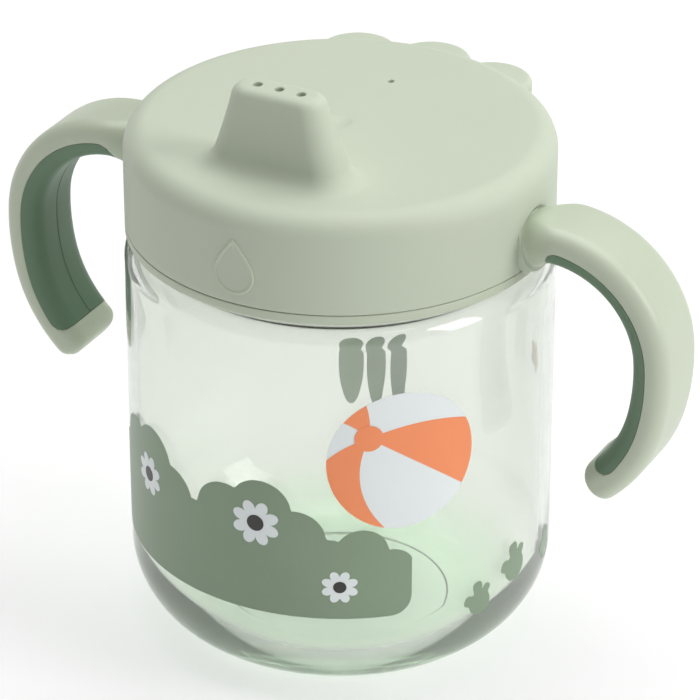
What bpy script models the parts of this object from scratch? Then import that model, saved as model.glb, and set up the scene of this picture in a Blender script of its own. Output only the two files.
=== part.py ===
"""Sippy cup: a clear tumbler, a screw-on ring with two hooked handles, and a soft spout cover.

The origin is the centre of the tumbler's base and +Z points up. The handles lie along X,
the spout is towards -Y and the pull tabs are towards +Y. Every length is in metres.
"""

import math

import bmesh
import bpy
from mathutils import Matrix, Vector

MM = 0.001

# Fits between neighbouring pieces
SEAT_GAP = 0.3 * MM            # between faces that rest on or line up with each other
THREAD_GAP = 0.4 * MM          # between a thread's crest and the wall that it faces
RING_REST_GAP = 1.2 * MM       # between the shoulder and the ring's underside when closed

# Tumbler
CUP_RADIUS = 40.3 * MM
CUP_SHOULDER_Z = 80.7 * MM
CUP_WALL = 2.0 * MM
CUP_FLOOR = 5.0 * MM
CUP_BASE_ROUND = 17.0 * MM
CUP_INSIDE_ROUND = 13.0 * MM
SHOULDER_ROUND = 4.3 * MM
NECK_STEP = 5.5 * MM           # from the tumbler's outside in to the neck's outside
NECK_HEIGHT = 16.1 * MM
NECK_WALL = 2.0 * MM
NECK_ROOT_ROUND = 1.0 * MM
RIM_ROUND = 0.6 * MM

# Screw thread, two starts
THREAD_STARTS = 2
THREAD_LEAD = 8.0 * MM         # rise for each whole turn
THREAD_DEPTH = 1.0 * MM
THREAD_ROOT_HALF = 0.95 * MM   # half of a ridge's height at its wall
THREAD_CREST_HALF = 0.4 * MM   # half of a ridge's height at its crest
THREAD_BURIED = 0.5 * MM       # how deep a ridge runs into its wall
NECK_THREAD_LIFT = 5.4 * MM    # from the shoulder up to a neck ridge's lower end
NECK_THREAD_SWEEP = 240.0      # degrees
RING_THREAD_SWEEP = 100.0      # degrees

# Neck seal
SEAL_HEIGHT = 1.3 * MM
SEAL_INSET = 0.3 * MM          # from the neck's bore out to the seal's bore
SEAL_ROUND = 0.3 * MM

# Handle ring
RING_WALL = 1.7 * MM
LIP_HEIGHT = 1.95 * MM         # the lower lip that shows under the cover
LIP_ROUND = 0.5 * MM
FLANGE_HEIGHT = 1.7 * MM
FLANGE_BORE = 31.2 * MM
RING_EDGE = 0.8 * MM

# Handles
HANDLE_WIDTH = 15.4 * MM
HANDLE_DEPTH = 7.5 * MM
HANDLE_CORNER = 3.7 * MM
HANDLE_ROOT_WIDTH = 11.4 * MM
HANDLE_ROOT_EXTRA = 2.6 * MM   # how much deeper the root is, on its underside
HANDLE_ROOT_CORNER = 5.2 * MM
HANDLE_ROOT_START = 1.6 * MM   # along the handle, where the root begins to change shape
HANDLE_ROOT_LENGTH = 12.0 * MM
HANDLE_ROOT_DROP = 5.1 * MM    # from the pad's top down to the centre line's start
HANDLE_START_ANGLE = 24.0      # degrees above level, where a handle leaves the ring
HANDLE_ARCS = (                # radius, degrees turned downwards
    (20.6 * MM, 110.0),
    (43.0 * MM, 17.0),
    (27.5 * MM, 40.0),
)
HANDLE_TIP_ROUND = 2.6 * MM
PAD_HALF_WIDTH = 6.2 * MM      # the pad on the ring that fills the cover's notch
PAD_HEIGHT = 10.3 * MM
PAD_BURIED = 0.8 * MM
PAD_SET_IN = 0.12 * MM         # how far the pad's face stays inside the lip's edge

# Grip inlays
GRIP_DEPTH = 3.5 * MM
GRIP_START = 8.0 * MM          # along the handle, from where it leaves the ring's wall
GRIP_END_MARGIN = 4.6 * MM     # from the handle's tip
GRIP_END_ROUND = 3.2 * MM

# Spout cover
COVER_WALL = 1.8 * MM
COVER_ROOF = 2.0 * MM
COVER_EDGE_ROUND = 4.4 * MM
COVER_HEM_ROUND = 0.4 * MM
PLUG_WALL = 1.6 * MM
PLUG_DEPTH = 3.4 * MM
NOTCH_GAP = 0.3 * MM

# Spout
SPOUT_HEIGHT = 16.2 * MM
SPOUT_BACK_Y = -19.3 * MM
SPOUT_FRONT_Y = -26.3 * MM
SPOUT_HALF_LENGTH = 8.4 * MM
SPOUT_SIDE_FLARE = 5.6 * MM
SPOUT_BACK_FLARE = 2.4 * MM
SPOUT_FRONT_FLARE = 0.9 * MM
SPOUT_FLARE_POWER = 1.7
SPOUT_FOOT_ROUND = 2.4 * MM
SPOUT_TOP_ROUND = 1.3 * MM
SPOUT_CORNER = 3.2 * MM
SPOUT_WALL = 1.9 * MM
SPOUT_HOLE_RADIUS = 0.85 * MM
SPOUT_HOLE_PITCH = 4.4 * MM
VENT_RADIUS = 0.6 * MM
VENT_Y = 19.9 * MM

# Pull tabs
TAB_RADIUS = 7.6 * MM
TAB_SET_IN = 3.4 * MM          # from the cover's side in to a tab's centre
TAB_STEP = 23.0                # degrees between tabs
TAB_DROP = 1.7 * MM            # from the cover's top down to the tabs' tops
TAB_HEIGHT = 4.2 * MM
TAB_ROUND = 1.0 * MM

# Mesh fineness
ROUND_STEPS = 64
CORNER_STEPS = 4
THREAD_STEP_ANGLE = 8.0        # degrees

# Places that follow from the sizes above
NECK_RADIUS = CUP_RADIUS - NECK_STEP
NECK_BORE = NECK_RADIUS - NECK_WALL
NECK_TOP_Z = CUP_SHOULDER_Z + NECK_HEIGHT
RING_BORE = NECK_RADIUS + THREAD_DEPTH + THREAD_GAP
RING_RADIUS = RING_BORE + RING_WALL
RING_BOTTOM_Z = CUP_SHOULDER_Z + RING_REST_GAP
LIP_TOP_Z = RING_BOTTOM_Z + LIP_HEIGHT
SEAL_BOTTOM_Z = NECK_TOP_Z + SEAT_GAP
SEAL_TOP_Z = SEAL_BOTTOM_Z + SEAL_HEIGHT
FLANGE_BOTTOM_Z = SEAL_TOP_Z + SEAT_GAP
RING_TOP_Z = FLANGE_BOTTOM_Z + FLANGE_HEIGHT
COVER_BORE = RING_RADIUS + SEAT_GAP
COVER_RADIUS = COVER_BORE + COVER_WALL
COVER_BOTTOM_Z = LIP_TOP_Z + SEAT_GAP
COVER_CEILING_Z = RING_TOP_Z + SEAT_GAP
COVER_TOP_Z = COVER_CEILING_Z + COVER_ROOF
PLUG_RADIUS = FLANGE_BORE - SEAT_GAP
TAB_CENTRE_RADIUS = COVER_RADIUS - TAB_SET_IN
PAD_TOP_Z = LIP_TOP_Z + PAD_HEIGHT
HANDLE_ROOT_X = RING_RADIUS - PAD_BURIED
HANDLE_ROOT_Z = PAD_TOP_Z - HANDLE_ROOT_DROP
HANDLE_LENGTH = sum(radius * math.radians(turn) for radius, turn in HANDLE_ARCS)


def clear_scene():
    """Remove every object, so that the model starts from nothing."""
    for old in list(bpy.data.objects):
        bpy.data.objects.remove(old, do_unlink=True)


def make_material(name, colour, roughness, transmission=0.0):
    """Return a Principled material of one colour."""
    material = bpy.data.materials.new(name)
    material.use_nodes = True
    shader = material.node_tree.nodes["Principled BSDF"]
    shader.inputs["Base Color"].default_value = (*colour, 1.0)
    shader.inputs["Roughness"].default_value = roughness
    shader.inputs["Metallic"].default_value = 0.0
    shader.inputs["Transmission Weight"].default_value = transmission
    return material


def finish_object(name, mesh_data, material):
    """Turn a bmesh into a smooth-shaded object in the scene."""
    bmesh.ops.remove_doubles(mesh_data, verts=mesh_data.verts, dist=1e-7)
    bmesh.ops.recalc_face_normals(mesh_data, faces=mesh_data.faces)
    mesh = bpy.data.meshes.new(name)
    mesh_data.to_mesh(mesh)
    mesh_data.free()
    mesh.shade_smooth()
    mesh.set_sharp_from_angle(angle=math.radians(35.0))
    if material is not None:
        mesh.materials.append(material)
    piece = bpy.data.objects.new(name, mesh)
    bpy.context.scene.collection.objects.link(piece)
    return piece


def arc(centre, radius, start, end, steps):
    """Return points on an arc in the (radius, height) plane, from one angle to another."""
    points = []
    for index in range(steps + 1):
        angle = math.radians(start + (end - start) * index / steps)
        points.append((centre[0] + radius * math.cos(angle), centre[1] + radius * math.sin(angle)))
    return points


def turned(name, profile, material=None):
    """Spin a closed (radius, height) outline round the Z axis into a solid."""
    mesh_data = bmesh.new()
    verts = [mesh_data.verts.new((radius, 0.0, height)) for radius, height in profile]
    edges = [mesh_data.edges.new((verts[i - 1], verts[i])) for i in range(len(verts))]
    axis_edges = [e for e in edges if all(v.co.x < 1e-9 for v in e.verts)]
    for edge in axis_edges:
        edges.remove(edge)
        mesh_data.edges.remove(edge)
    bmesh.ops.spin(
        mesh_data,
        geom=verts + edges,
        cent=(0.0, 0.0, 0.0),
        axis=(0.0, 0.0, 1.0),
        angle=math.tau,
        steps=ROUND_STEPS,
        use_merge=True,
    )
    return finish_object(name, mesh_data, material)


def lofted(name, rings, material=None):
    """Bridge rings of points, all of the same count, and cap both ends."""
    mesh_data = bmesh.new()
    loops = [[mesh_data.verts.new(point) for point in ring] for ring in rings]
    count = len(loops[0])
    for lower, upper in zip(loops, loops[1:]):
        for index in range(count):
            after = (index + 1) % count
            mesh_data.faces.new((lower[index], lower[after], upper[after], upper[index]))
    mesh_data.faces.new(list(reversed(loops[0])))
    mesh_data.faces.new(loops[-1])
    return finish_object(name, mesh_data, material)


def rod(name, radius, low, high, place_x, place_y, sides):
    """Make an upright cylinder, used to cut a hole or a disc."""
    mesh_data = bmesh.new()
    bmesh.ops.create_cone(
        mesh_data,
        cap_ends=True,
        segments=sides,
        radius1=radius,
        radius2=radius,
        depth=high - low,
        matrix=Matrix.Translation((place_x, place_y, (low + high) / 2)),
    )
    return finish_object(name, mesh_data, None)


def combine(target, tool, operation):
    """Join or cut a target with a tool, which is then only a guide."""
    modifier = target.modifiers.new(tool.name, "BOOLEAN")
    modifier.object = tool
    modifier.operation = operation
    modifier.solver = "EXACT"
    tool.hide_render = True
    tool.display_type = "WIRE"


def thread_ridge(name, wall_radius, inward, low_z, sweep, start_angle):
    """Make one helical ridge that stands out from a round wall and tapers into it at its ends."""
    sign = -1.0 if inward else 1.0
    root = wall_radius - sign * THREAD_BURIED
    steps = round(sweep / THREAD_STEP_ANGLE)
    rings = []
    for index in range(steps + 1):
        share = index / steps
        turn = math.radians(start_angle + sweep * share)
        height = low_z + THREAD_LEAD * sweep * share / 360.0
        full = min(1.0, 0.15 + min(index, steps - index) / 2.0)
        crest = wall_radius + sign * THREAD_DEPTH * full
        corners = (
            (root, -THREAD_ROOT_HALF),
            (root, THREAD_ROOT_HALF),
            (crest, THREAD_CREST_HALF),
            (crest, -THREAD_CREST_HALF),
        )
        rings.append([
            (radius * math.cos(turn), radius * math.sin(turn), height + rise)
            for radius, rise in corners
        ])
    return lofted(name, rings)


def add_threads(piece, label, wall_radius, inward, low_z, sweep):
    """Join one ridge for each start of the thread to a piece."""
    for start in range(THREAD_STARTS):
        angle = 360.0 * start / THREAD_STARTS
        name = f"{label}_ridge_{start}"
        combine(piece, thread_ridge(name, wall_radius, inward, low_z, sweep, angle), "UNION")


def build_cup():
    """The tumbler: a thick rounded base, a straight wall, a shoulder and a threaded neck."""
    inner_radius = CUP_RADIUS - CUP_WALL
    shoulder_centre = (CUP_RADIUS - SHOULDER_ROUND, CUP_SHOULDER_Z - SHOULDER_ROUND)
    profile = [(0.0, 0.0)]
    profile += arc((CUP_RADIUS - CUP_BASE_ROUND, CUP_BASE_ROUND), CUP_BASE_ROUND, -90, 0, 8)
    profile += arc(shoulder_centre, SHOULDER_ROUND, 0, 90, 4)
    profile += arc(
        (NECK_RADIUS + NECK_ROOT_ROUND, CUP_SHOULDER_Z + NECK_ROOT_ROUND), NECK_ROOT_ROUND, 270, 180, 2
    )
    profile += arc((NECK_RADIUS - RIM_ROUND, NECK_TOP_Z - RIM_ROUND), RIM_ROUND, 0, 90, 1)
    profile += arc((NECK_BORE + RIM_ROUND, NECK_TOP_Z - RIM_ROUND), RIM_ROUND, 90, 180, 1)
    profile += arc(
        (NECK_BORE + NECK_ROOT_ROUND, CUP_SHOULDER_Z - CUP_WALL + NECK_ROOT_ROUND),
        NECK_ROOT_ROUND, 180, 270, 1,
    )
    profile += arc(shoulder_centre, SHOULDER_ROUND - CUP_WALL, 90, 0, 2)
    profile += arc(
        (inner_radius - CUP_INSIDE_ROUND, CUP_FLOOR + CUP_INSIDE_ROUND), CUP_INSIDE_ROUND, 0, -90, 5
    )
    profile += [(0.0, CUP_FLOOR)]
    cup = turned("cup_body", profile, make_material("clear_green_plastic", (0.74, 0.83, 0.69), 0.05, 0.9))
    add_threads(cup, "neck", NECK_RADIUS, False, CUP_SHOULDER_Z + NECK_THREAD_LIFT, NECK_THREAD_SWEEP)
    return cup


def build_seal():
    """The soft washer between the tumbler's rim and the ring's top flange."""
    inner = NECK_BORE + SEAL_INSET
    outer = RING_BORE - SEAT_GAP
    profile = []
    for centre_radius, centre_z, start in (
        (outer - SEAL_ROUND, SEAL_BOTTOM_Z + SEAL_ROUND, -90),
        (outer - SEAL_ROUND, SEAL_TOP_Z - SEAL_ROUND, 0),
        (inner + SEAL_ROUND, SEAL_TOP_Z - SEAL_ROUND, 90),
        (inner + SEAL_ROUND, SEAL_BOTTOM_Z + SEAL_ROUND, 180),
    ):
        profile += arc((centre_radius, centre_z), SEAL_ROUND, start, start + 90, 1)
    return turned("neck_seal", profile, make_material("white_silicone", (0.82, 0.84, 0.78), 0.5))


def arched_block(name, inner_radius, outer_radius, half_width, low_z, high_z, side):
    """Make a block with an arched top that follows a round wall at the +X or the -X side."""
    columns = 11
    spring_z = high_z - half_width
    rings = []
    for index in range(columns + 1):
        across = -half_width * math.cos(math.pi * index / columns)
        top_z = spring_z + math.sqrt(max(half_width ** 2 - across ** 2, 0.0))
        inner_x = side * math.sqrt(inner_radius ** 2 - across ** 2)
        outer_x = side * math.sqrt(outer_radius ** 2 - across ** 2)
        rings.append([
            (inner_x, across, low_z),
            (outer_x, across, low_z),
            (outer_x, across, top_z),
            (inner_x, across, top_z),
        ])
    return lofted(name, rings)


def handle_point(distance):
    """Return a handle's centre-line point (x, z) and heading in radians, at a distance along it."""
    x, z = HANDLE_ROOT_X, HANDLE_ROOT_Z
    heading = math.radians(HANDLE_START_ANGLE)
    left = distance
    for radius, turn in HANDLE_ARCS:
        step = min(left, radius * math.radians(turn))
        after = heading - step / radius
        x += radius * (math.sin(heading) - math.sin(after))
        z += radius * (math.cos(after) - math.cos(heading))
        heading = after
        left -= step
    return x, z, heading


def smooth_step(value):
    """Ease from 0 to 1 as the value goes from 0 to 1."""
    value = min(max(value, 0.0), 1.0)
    return value * value * (3.0 - 2.0 * value)


def handle_size(distance):
    """Return a handle's half width, outer and inner half depth, and corner, at a distance along it."""
    blend = smooth_step((distance - HANDLE_ROOT_START) / HANDLE_ROOT_LENGTH)
    half_width = (HANDLE_ROOT_WIDTH + (HANDLE_WIDTH - HANDLE_ROOT_WIDTH) * blend) / 2
    inner = HANDLE_DEPTH / 2 + HANDLE_ROOT_EXTRA * (1.0 - blend)
    corner = HANDLE_ROOT_CORNER + (HANDLE_CORNER - HANDLE_ROOT_CORNER) * blend
    into_tip = max(0.0, distance - (HANDLE_LENGTH - HANDLE_TIP_ROUND)) / HANDLE_TIP_ROUND
    inset = HANDLE_TIP_ROUND * (1.0 - math.sqrt(max(1.0 - into_tip ** 2, 0.0)))
    outer = HANDLE_DEPTH / 2 - inset
    inner -= inset
    half_width -= inset
    corner = min(corner, (outer + inner) * 0.49, half_width * 0.98)
    return half_width, outer, inner, corner


def pocket_depth(distance, start, end, depth, end_round):
    """Return how deep a round-ended pocket is at a distance along the handle."""
    if distance <= start or distance >= end:
        return 0.0
    near = min(distance - start, end - distance) / end_round
    if near >= 1.0:
        return depth
    return depth * math.sqrt(1.0 - (1.0 - near) ** 2)


def round_end_stations(start, end, end_round, first_angle):
    """Return stations close together where a pocket's ends are round."""
    angles = [math.radians(first_angle + (90.0 - first_angle) * i / 4) for i in range(5)]
    near = [start + end_round * (1.0 - math.cos(angle)) for angle in angles]
    far = [end - end_round * (1.0 - math.cos(angle)) for angle in angles]
    return near, far[::-1]


def even_stations(start, end, spacing):
    """Return evenly spaced stations between two distances, without the two ends."""
    count = max(1, round((end - start) / spacing))
    return [start + (end - start) * i / count for i in range(1, count)]


def placed_ring(distance, points, side):
    """Place a section's (outward, across) points on a handle at a distance along it."""
    x, z, heading = handle_point(distance)
    out_x, out_z = -math.sin(heading), math.cos(heading)
    return [(side * (x + a * out_x), b, z + a * out_z) for a, b in points]


def shell_section(distance, start, end):
    """Return the section of a handle's shell, flattened where the grip's pocket is cut."""
    half_width, outer, inner, corner = handle_size(distance)
    depth = pocket_depth(distance, start, end, GRIP_DEPTH, GRIP_END_ROUND)
    floor = -inner + depth
    points = []
    for centre_a, centre_b, first in (
        (outer - corner, half_width - corner, 0),
        (-inner + corner, half_width - corner, 90),
        (-inner + corner, -half_width + corner, 180),
        (outer - corner, -half_width + corner, 270),
    ):
        points += arc((centre_a, centre_b), corner, first, first + 90, CORNER_STEPS)
    return [(max(a, floor), b) for a, b in points]


def grip_section(distance, start, end):
    """Return the section of a grip inlay, which fills the pocket with a clearance."""
    half_width, _, inner, corner = handle_size(distance)
    thickness = pocket_depth(distance, start, end, GRIP_DEPTH - SEAT_GAP, GRIP_END_ROUND - SEAT_GAP)
    last = math.degrees(math.acos(max(0.0, 1.0 - thickness / corner)))
    side_points = []
    for index in range(CORNER_STEPS + 1):
        angle = math.radians(last * index / CORNER_STEPS)
        a = -inner + corner * (1.0 - math.cos(angle))
        b = half_width - corner + corner * math.sin(angle)
        side_points.append((a, b))
    side_points[-1] = (-inner + thickness, side_points[-1][1])
    return side_points + [(a, -b) for a, b in reversed(side_points)]


def build_handle_shell(name, side):
    """One hooked handle shell, with the pocket for its grip on the inner face."""
    start, end = GRIP_START, HANDLE_LENGTH - GRIP_END_MARGIN
    near, far = round_end_stations(start, end, GRIP_END_ROUND, 8.0)
    tip_start = HANDLE_LENGTH - HANDLE_TIP_ROUND
    stations = [0.0] + even_stations(0.0, start, 2.4 * MM) + [start] + near
    stations += even_stations(near[-1], far[0], 3.0 * MM) + far + [end]
    stations += even_stations(end, tip_start, 2.0 * MM) + [tip_start]
    stations += [tip_start + HANDLE_TIP_ROUND * math.sin(math.radians(a)) for a in (30, 60, 80, 90)]
    rings = [placed_ring(s, shell_section(s, start, end), side) for s in stations]
    return lofted(name, rings)


def build_grip(name, side, material):
    """One soft grip inlay, set into a handle's inner face."""
    start = GRIP_START + SEAT_GAP
    end = HANDLE_LENGTH - GRIP_END_MARGIN - SEAT_GAP
    near, far = round_end_stations(start, end, GRIP_END_ROUND - SEAT_GAP, 20.0)
    stations = near + even_stations(near[-1], far[0], 3.0 * MM) + far
    rings = [placed_ring(s, grip_section(s, start, end), side) for s in stations]
    return lofted(name, rings, material)


def build_ring():
    """The screw ring with its lower lip, top flange, inside thread, two pads and two handles."""
    profile = [(RING_BORE, RING_BOTTOM_Z)]
    profile += arc((COVER_RADIUS - LIP_ROUND, RING_BOTTOM_Z + LIP_ROUND), LIP_ROUND, -90, 0, 2)
    profile += [(COVER_RADIUS, LIP_TOP_Z), (RING_RADIUS, LIP_TOP_Z)]
    profile += arc((RING_RADIUS - RING_EDGE, RING_TOP_Z - RING_EDGE), RING_EDGE, 0, 90, 1)
    profile += [
        (FLANGE_BORE, RING_TOP_Z),
        (FLANGE_BORE, FLANGE_BOTTOM_Z),
        (RING_BORE, FLANGE_BOTTOM_Z),
    ]
    ring = turned("handle_ring", profile, make_material("sage_plastic", (0.49, 0.55, 0.42), 0.42))
    low_z = CUP_SHOULDER_Z + NECK_THREAD_LIFT - THREAD_LEAD / THREAD_STARTS / 2
    add_threads(ring, "ring", RING_BORE, True, low_z, RING_THREAD_SWEEP)
    for label, side in (("right", 1), ("left", -1)):
        pad = arched_block(
            f"{label}_pad", RING_RADIUS - PAD_BURIED, COVER_RADIUS - PAD_SET_IN, PAD_HALF_WIDTH,
            LIP_TOP_Z - LIP_HEIGHT / 2, PAD_TOP_Z, side,
        )
        combine(ring, pad, "UNION")
        combine(ring, build_handle_shell(f"{label}_shell", side), "UNION")
    return ring


def rounded_outline(half_x, low_y, high_y, corner, height):
    """Return a level rounded rectangle between two Y values, as points at one height."""
    corner = min(corner, half_x * 0.95, (high_y - low_y) * 0.475)
    points = []
    for centre_x, centre_y, first in (
        (half_x - corner, high_y - corner, 0),
        (-half_x + corner, high_y - corner, 90),
        (-half_x + corner, low_y + corner, 180),
        (half_x - corner, low_y + corner, 270),
    ):
        points += arc((centre_x, centre_y), corner, first, first + 90, CORNER_STEPS + 1)
    return [(x, y, height) for x, y in points]


def spout_ring(rise, inset):
    """Return the spout's level outline at a rise above the cover's top, shrunk by an inset."""
    below = 1.0 - min(max(rise / SPOUT_HEIGHT, 0.0), 1.0)
    flare = below ** SPOUT_FLARE_POWER
    foot = max(0.0, 1.0 - max(rise, 0.0) / SPOUT_FOOT_ROUND)
    skirt = 0.0
    if inset == 0.0:
        skirt = SPOUT_FOOT_ROUND * (1.0 - math.sqrt(1.0 - foot ** 2))
    top = max(0.0, rise - (SPOUT_HEIGHT - SPOUT_TOP_ROUND - inset)) / SPOUT_TOP_ROUND
    crown = SPOUT_TOP_ROUND * (1.0 - math.sqrt(1.0 - min(top, 1.0) ** 2))
    grow = skirt - crown - inset
    half_x = SPOUT_HALF_LENGTH + SPOUT_SIDE_FLARE * flare + grow
    low_y = SPOUT_FRONT_Y - SPOUT_FRONT_FLARE * flare - grow
    high_y = SPOUT_BACK_Y + SPOUT_BACK_FLARE * flare + grow
    corner = SPOUT_CORNER - inset / 2 + SPOUT_FOOT_ROUND * flare
    return rounded_outline(half_x, low_y, high_y, corner, COVER_TOP_Z + rise)


def spout_body():
    """The spout's outside, flared at its foot and rounded at its top edge."""
    rises = [-COVER_ROOF / 2, -SEAT_GAP / 6]
    rises += [SPOUT_FOOT_ROUND * (1.0 - math.cos(math.radians(a))) for a in (35, 60, 90)]
    rises += even_stations(SPOUT_FOOT_ROUND, SPOUT_HEIGHT - SPOUT_TOP_ROUND, 2.2 * MM)
    rises += [SPOUT_HEIGHT - SPOUT_TOP_ROUND * (1.0 - math.sin(math.radians(a))) for a in (0, 30, 60, 90)]
    return lofted("spout_body", [spout_ring(rise, 0.0) for rise in rises])


def spout_cavity():
    """The hollow inside the spout, open to the space under the cover."""
    ceiling = SPOUT_HEIGHT - SPOUT_WALL
    rises = [-COVER_ROOF * 2] + even_stations(-COVER_ROOF * 2, ceiling, 3.0 * MM) + [ceiling]
    return lofted("spout_cavity", [spout_ring(rise, SPOUT_WALL) for rise in rises])


def pull_tab(name, angle):
    """One round pull tab, a disc with rounded edges that sticks out of the cover's rim."""
    centre_x = TAB_CENTRE_RADIUS * math.cos(math.radians(angle))
    centre_y = TAB_CENTRE_RADIUS * math.sin(math.radians(angle))
    top_z = COVER_TOP_Z - TAB_DROP
    low_z = top_z - TAB_HEIGHT
    edge = arc((TAB_RADIUS - TAB_ROUND, low_z + TAB_ROUND), TAB_ROUND, -90, 0, 2)
    edge += arc((TAB_RADIUS - TAB_ROUND, top_z - TAB_ROUND), TAB_ROUND, 0, 90, 2)
    rings = []
    for radius, height in edge:
        turns = [math.tau * i / 32 for i in range(32)]
        rings.append([
            (centre_x + radius * math.cos(turn), centre_y + radius * math.sin(turn), height) for turn in turns
        ])
    return lofted(name, rings)


def build_cover():
    """The soft cover: a cap over the ring with a hollow spout, holes, notches and pull tabs."""
    outside = [(0.0, COVER_BOTTOM_Z)]
    outside += arc(
        (COVER_RADIUS - COVER_HEM_ROUND, COVER_BOTTOM_Z + COVER_HEM_ROUND), COVER_HEM_ROUND, -90, 0, 1
    )
    outside += arc(
        (COVER_RADIUS - COVER_EDGE_ROUND, COVER_TOP_Z - COVER_EDGE_ROUND), COVER_EDGE_ROUND, 0, 90, 5
    )
    outside += [(0.0, COVER_TOP_Z)]
    cover = turned("lid_cover", outside, make_material("sage_silicone", (0.55, 0.62, 0.49), 0.55))
    for label, step in (("left", -1), ("middle", 0), ("right", 1)):
        combine(cover, pull_tab(f"{label}_tab", 90.0 - step * TAB_STEP), "UNION")
    combine(cover, spout_body(), "UNION")

    below = COVER_BOTTOM_Z - COVER_ROOF
    inside = [
        (0.0, below),
        (COVER_BORE, below),
        (COVER_BORE, COVER_CEILING_Z),
        (PLUG_RADIUS, COVER_CEILING_Z),
        (PLUG_RADIUS, COVER_CEILING_Z - PLUG_DEPTH),
        (PLUG_RADIUS - PLUG_WALL, COVER_CEILING_Z - PLUG_DEPTH),
        (PLUG_RADIUS - PLUG_WALL, COVER_CEILING_Z),
        (0.0, COVER_CEILING_Z),
    ]
    combine(cover, turned("cover_inside", inside), "DIFFERENCE")
    combine(cover, spout_cavity(), "DIFFERENCE")
    for label, side in (("right", 1), ("left", -1)):
        notch = arched_block(
            f"{label}_notch", COVER_BORE - COVER_WALL, COVER_RADIUS + COVER_WALL,
            PAD_HALF_WIDTH + NOTCH_GAP, below, PAD_TOP_Z + NOTCH_GAP, side,
        )
        combine(cover, notch, "DIFFERENCE")
    hole_y = (SPOUT_FRONT_Y + SPOUT_BACK_Y) / 2
    for label, step in (("left", -1), ("middle", 0), ("right", 1)):
        hole = rod(
            f"{label}_hole", SPOUT_HOLE_RADIUS, COVER_TOP_Z + SPOUT_HEIGHT - 2 * SPOUT_WALL,
            COVER_TOP_Z + SPOUT_HEIGHT + SPOUT_WALL, step * SPOUT_HOLE_PITCH, hole_y, 12,
        )
        combine(cover, hole, "DIFFERENCE")
    vent = rod(
        "vent_hole", VENT_RADIUS, COVER_CEILING_Z - COVER_ROOF, COVER_TOP_Z + COVER_ROOF, 0.0, VENT_Y, 12
    )
    combine(cover, vent, "DIFFERENCE")
    return cover


def build():
    """Build every piece of the sippy cup."""
    clear_scene()
    build_cup()
    build_seal()
    build_ring()
    build_grip("right_grip", 1, make_material("right_dark_grip", (0.12, 0.21, 0.13), 0.45))
    build_grip("left_grip", -1, make_material("left_dark_grip", (0.12, 0.21, 0.13), 0.45))
    build_cover()


build()
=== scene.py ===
"""Sippy cup: a clear printed tumbler, a screw ring with two hooked handles, and a soft spout cover.

Lengths are in metres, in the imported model's frame: the origin is the centre of the tumbler's base,
+Z points up, the handles lie along X and the spout is towards -Y.
"""

import logging
import math
from dataclasses import dataclass
from enum import Enum

import bmesh
import bpy
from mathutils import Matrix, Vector


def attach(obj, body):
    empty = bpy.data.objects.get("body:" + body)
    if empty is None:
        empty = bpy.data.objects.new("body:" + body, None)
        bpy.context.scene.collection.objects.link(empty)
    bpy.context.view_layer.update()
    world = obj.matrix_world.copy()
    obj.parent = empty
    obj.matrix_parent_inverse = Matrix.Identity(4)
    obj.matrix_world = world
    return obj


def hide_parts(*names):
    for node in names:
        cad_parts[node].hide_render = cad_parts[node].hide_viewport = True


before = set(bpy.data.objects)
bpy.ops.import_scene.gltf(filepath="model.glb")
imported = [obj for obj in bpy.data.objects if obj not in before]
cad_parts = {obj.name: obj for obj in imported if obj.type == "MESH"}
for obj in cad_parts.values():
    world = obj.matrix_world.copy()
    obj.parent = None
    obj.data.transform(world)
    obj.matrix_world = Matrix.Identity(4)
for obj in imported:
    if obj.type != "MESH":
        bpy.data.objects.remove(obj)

LOG = logging.getLogger("sippy_cup")
MM = 0.001
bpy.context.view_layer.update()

Flat = tuple[float, float]
Solid = tuple[float, float, float]


class Body(Enum):
    """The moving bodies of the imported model."""

    CUP = "cup"
    SEAL = "seal"
    RING = "ring"
    COVER = "cover"


class Side(Enum):
    """The two sides that carry a handle."""

    RIGHT = 1
    LEFT = -1


class Join(Enum):
    """How a tool solid changes the piece it meets."""

    ADD = "UNION"
    CUT = "DIFFERENCE"


# ---------------------------------------------------------------- modelling helpers


def start_clean() -> None:
    """Leave edit mode and deselect everything."""
    if bpy.context.object is not None and bpy.context.object.mode != "OBJECT":
        bpy.ops.object.mode_set(mode="OBJECT")
    bpy.ops.object.select_all(action="DESELECT")


def pick_only(piece: bpy.types.Object) -> None:
    """Select one piece and make it active.

    Args:
        piece: The piece to select.
    """
    start_clean()
    piece.select_set(True)
    bpy.context.view_layer.objects.active = piece


def arc(centre: Flat, radius: float, start: float, end: float, steps: int) -> list[Flat]:
    """Return points on an arc.

    Args:
        centre: The arc's centre.
        radius: The arc's radius.
        start: The first angle, in degrees.
        end: The last angle, in degrees.
        steps: How many equal steps to take.

    Returns:
        The points, one more than the steps.
    """
    angles = [math.radians(start + (end - start) * i / steps) for i in range(steps + 1)]
    return [(centre[0] + radius * math.cos(a), centre[1] + radius * math.sin(a)) for a in angles]


def ease(value: float) -> float:
    """Ease from 0 to 1 as the value goes from 0 to 1."""
    value = min(max(value, 0.0), 1.0)
    return value * value * (3.0 - 2.0 * value)


def between(first: float, last: float, spacing: float) -> list[float]:
    """Return evenly spaced values between two values, without the two themselves."""
    count = max(1, round(abs(last - first) / spacing))
    return [first + (last - first) * i / count for i in range(1, count)]


def level_circle(centre: Solid, radius: float, count: int) -> list[Solid]:
    """Return evenly spaced points on a level circle.

    Args:
        centre: The circle's centre.
        radius: The circle's radius.
        count: How many points.

    Returns:
        The points.
    """
    x, y, z = centre
    turns = [math.tau * i / count for i in range(count)]
    return [(x + radius * math.cos(turn), y + radius * math.sin(turn), z) for turn in turns]


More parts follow.
